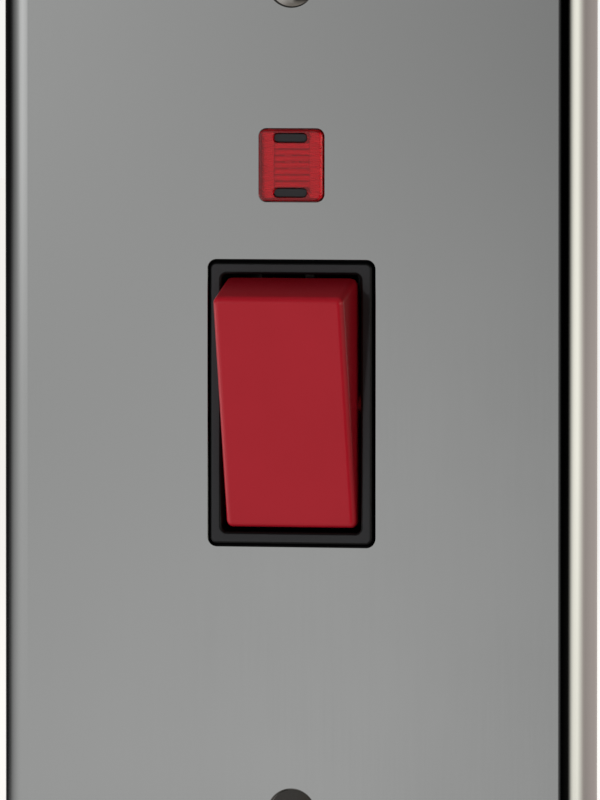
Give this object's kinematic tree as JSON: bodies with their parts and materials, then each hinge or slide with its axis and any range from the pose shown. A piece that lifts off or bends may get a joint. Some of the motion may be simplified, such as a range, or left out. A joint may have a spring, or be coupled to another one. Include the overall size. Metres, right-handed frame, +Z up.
{
  "type": "cooker switch",
  "caption": "Wall-mounted double-pole cooker switch with a red rocker and neon lens on a tall polished metal plate.",
  "frame": {"origin": "midway between the two wall screws, on the wall's plane", "axes": "+X to the right seen from the front, +Y into the wall, +Z up"},
  "size_m": [0.089, 0.0352, 0.149],
  "materials": {
    "plate_metal": "polished dark nickel",
    "screw_metal": "polished dark nickel",
    "steel": "zinc plated",
    "spring_steel": "bright drawn",
    "brass": "machined",
    "silver": "silver contact",
    "bezel_black": "satin moulded",
    "base_black": "moulded",
    "carrier_black": "moulded",
    "rocker_red": "satin moulded red",
    "plunger_white": "moulded",
    "lens_red": "clear red moulding",
    "lamp_glass": "clear",
    "resistor_tan": "painted",
    "lead_white": "insulated"
  },
  "bodies": {
    "frame": {"front_plate": "plate_metal", "plate_pillars": "brass", "fixing_screws": "screw_metal", "carrier_frame": "carrier_black", "switch_bezel": "bezel_black", "switch_base": "base_black", "base_cover": "base_black", "clamp_screws": "steel", "cover_screws": "steel", "terminal_screws": "steel", "neon_lens": "lens_red", "neon_holder": "base_black", "neon_cover": "base_black", "neon_screws": "steel", "neon_lamp": "lamp_glass", "neon_electrodes": "steel", "neon_resistor": "resistor_tan", "earth_terminal": "brass", "earth_screw": "steel", "left_fixed_tip": "silver", "left_feed_terminal": "brass", "left_load_terminal": "brass", "left_neon_lead": "lead_white", "right_fixed_tip": "silver", "right_feed_terminal": "brass", "right_load_terminal": "brass", "right_neon_lead": "lead_white"},
    "rocker": {"rocker": "rocker_red", "left_spring": "spring_steel", "right_spring": "spring_steel"},
    "left_plunger": {"left_plunger": "plunger_white"},
    "right_plunger": {"right_plunger": "plunger_white"},
    "left_arm": {"left_contact_arm": "brass", "left_moving_tip": "silver"},
    "right_arm": {"right_contact_arm": "brass", "right_moving_tip": "silver"}
  },
  "joints": [
    {"name": "rocker_tilt", "type": "hinge", "parent": "frame", "child": "rocker", "pos_m": [0, -0.0032, -0.0007], "axis": [1, 0, 0], "range_deg": [-25.2, 0]},
    {"name": "left_arm_tilt", "type": "hinge", "parent": "frame", "child": "left_arm", "pos_m": [0, 0.00898, -0.0007], "axis": [1, 0, 0], "range_deg": [0, 11]},
    {"name": "left_plunger_slide", "type": "slide", "parent": "rocker", "child": "left_plunger", "axis": [0, -0.9759, -0.2181], "range_m": [0, 0.001], "stiffness_N_per_m": 400, "deforming": ["left_spring"]},
    {"name": "right_arm_tilt", "type": "hinge", "parent": "frame", "child": "right_arm", "pos_m": [0, 0.00898, -0.0007], "axis": [1, 0, 0], "range_deg": [0, 11]},
    {"name": "right_plunger_slide", "type": "slide", "parent": "rocker", "child": "right_plunger", "axis": [0, -0.9759, -0.2181], "range_m": [0, 0.001], "stiffness_N_per_m": 400, "deforming": ["right_spring"]}
  ],
  "couplings": [
    {"joint": "left_arm_tilt", "follows": "rocker_tilt", "ratio": -0.4365},
    {"joint": "right_arm_tilt", "follows": "rocker_tilt", "ratio": -0.4365}
  ]
}
